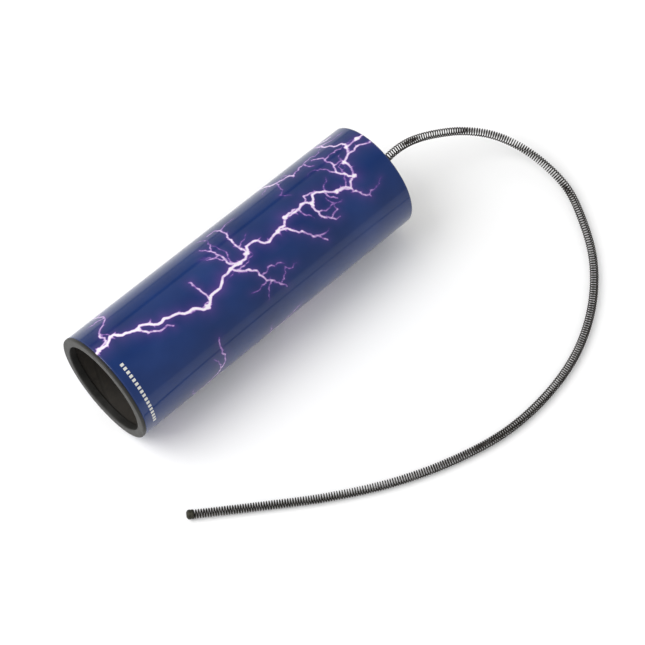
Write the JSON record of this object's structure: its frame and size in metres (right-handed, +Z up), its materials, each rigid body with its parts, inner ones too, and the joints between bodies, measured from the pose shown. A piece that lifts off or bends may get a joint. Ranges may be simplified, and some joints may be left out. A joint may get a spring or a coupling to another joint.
{
  "type": "thunder tube",
  "caption": "Thunder tube, also called a spring drum: an open-ended tube with a drumhead at the other end and a long coil spring fixed to the middle of the head.",
  "frame": {"origin": "on the surface the tube lies on, below the middle of the tube and its anchor stud together, the spring left out", "axes": "+X along the tube from its open end to its drumhead, +Z up from the surface, the spring's loop on the -Y side"},
  "size_m": [0.2762, 0.1748, 0.0599],
  "materials": {
    "fibre_shell": "matte",
    "printed_film": "gloss",
    "rim_trim": "satin",
    "drum_film": "satin",
    "black_ring": "satin",
    "black_dot": "satin",
    "zinc_plate": "satin",
    "spring_wire": "satin",
    "cap_metal": "matte"
  },
  "bodies": {
    "tube": {"tube_shell": "fibre_shell", "graphic_wrap": "printed_film", "open_end_trim": "rim_trim", "drumhead_collar": "drum_film", "head_ring": "black_ring"},
    "drumhead": {"drumhead_skin": "drum_film", "outer_dot": "black_dot", "inner_dot": "black_dot", "outer_washer": "zinc_plate", "inner_washer": "zinc_plate", "anchor_stud": "zinc_plate", "lock_nut": "zinc_plate"},
    "spring_mount": {"spring_end_coils": "spring_wire", "spring_section_1": "spring_wire"},
    "spring_bend_1": {"spring_section_2": "spring_wire"},
    "spring_bend_2": {"spring_section_3": "spring_wire"},
    "spring_arc_1": {"spring_section_4": "spring_wire"},
    "spring_arc_2": {"spring_section_5": "spring_wire"},
    "spring_arc_3": {"spring_section_6": "spring_wire"},
    "spring_arc_4": {"spring_section_7": "spring_wire"},
    "spring_arc_5": {"spring_section_8": "spring_wire", "spring_tip_cap": "cap_metal"}
  },
  "joints": [
    {"name": "drumhead_flex", "type": "slide", "parent": "tube", "child": "drumhead", "axis": [1, 0, 0], "range_m": [-0.0008, 0.0008], "stiffness_N_per_m": 600},
    {"name": "spring_swivel", "type": "hinge", "parent": "drumhead", "child": "spring_mount", "pos_m": [0.08955, 0, 0.02994], "axis": [-1, 0, 0], "range_deg": [0, 90]},
    {"name": "spring_root_bend_1", "type": "hinge", "parent": "spring_mount", "child": "spring_bend_1", "pos_m": [0.11221, 0.00301, 0.02913], "axis": [0, 0, 1], "range_deg": [-1.5, 15], "stiffness_Nm_per_rad": 0.006},
    {"name": "spring_root_bend_2", "type": "hinge", "parent": "spring_bend_1", "child": "spring_bend_2", "pos_m": [0.13843, -0.00301, 0.02233], "axis": [0, 0, 1], "range_deg": [-1.5, 15]},
    {"name": "spring_curl_1", "type": "hinge", "parent": "spring_bend_2", "child": "spring_arc_1", "pos_m": [0.16538, -0.02677, 0.01219], "axis": [0, 0, 1], "range_deg": [-2, 10], "stiffness_Nm_per_rad": 0.006},
    {"name": "spring_curl_2", "type": "hinge", "parent": "spring_arc_1", "child": "spring_arc_2", "pos_m": [0.16112, -0.08479, 0.00281], "axis": [0, 0, 1], "range_deg": [-2, 10]},
    {"name": "spring_curl_3", "type": "hinge", "parent": "spring_arc_2", "child": "spring_arc_3", "pos_m": [0.11783, -0.12796, 0.0024], "axis": [0, 0, 1], "range_deg": [-2, 10]},
    {"name": "spring_curl_4", "type": "hinge", "parent": "spring_arc_3", "child": "spring_arc_4", "pos_m": [0.05431, -0.1428, 0.0024], "axis": [0, 0, 1], "range_deg": [-2, 10]},
    {"name": "spring_curl_5", "type": "hinge", "parent": "spring_arc_4", "child": "spring_arc_5", "pos_m": [-0.01117, -0.12617, 0.0024], "axis": [0, 0, 1], "range_deg": [-2, 10]}
  ],
  "couplings": [
    {"joint": "spring_root_bend_2", "follows": "spring_root_bend_1", "ratio": 1},
    {"joint": "spring_curl_2", "follows": "spring_curl_1", "ratio": 1},
    {"joint": "spring_curl_3", "follows": "spring_curl_1", "ratio": 1},
    {"joint": "spring_curl_4", "follows": "spring_curl_1", "ratio": 1},
    {"joint": "spring_curl_5", "follows": "spring_curl_1", "ratio": 1}
  ]
}
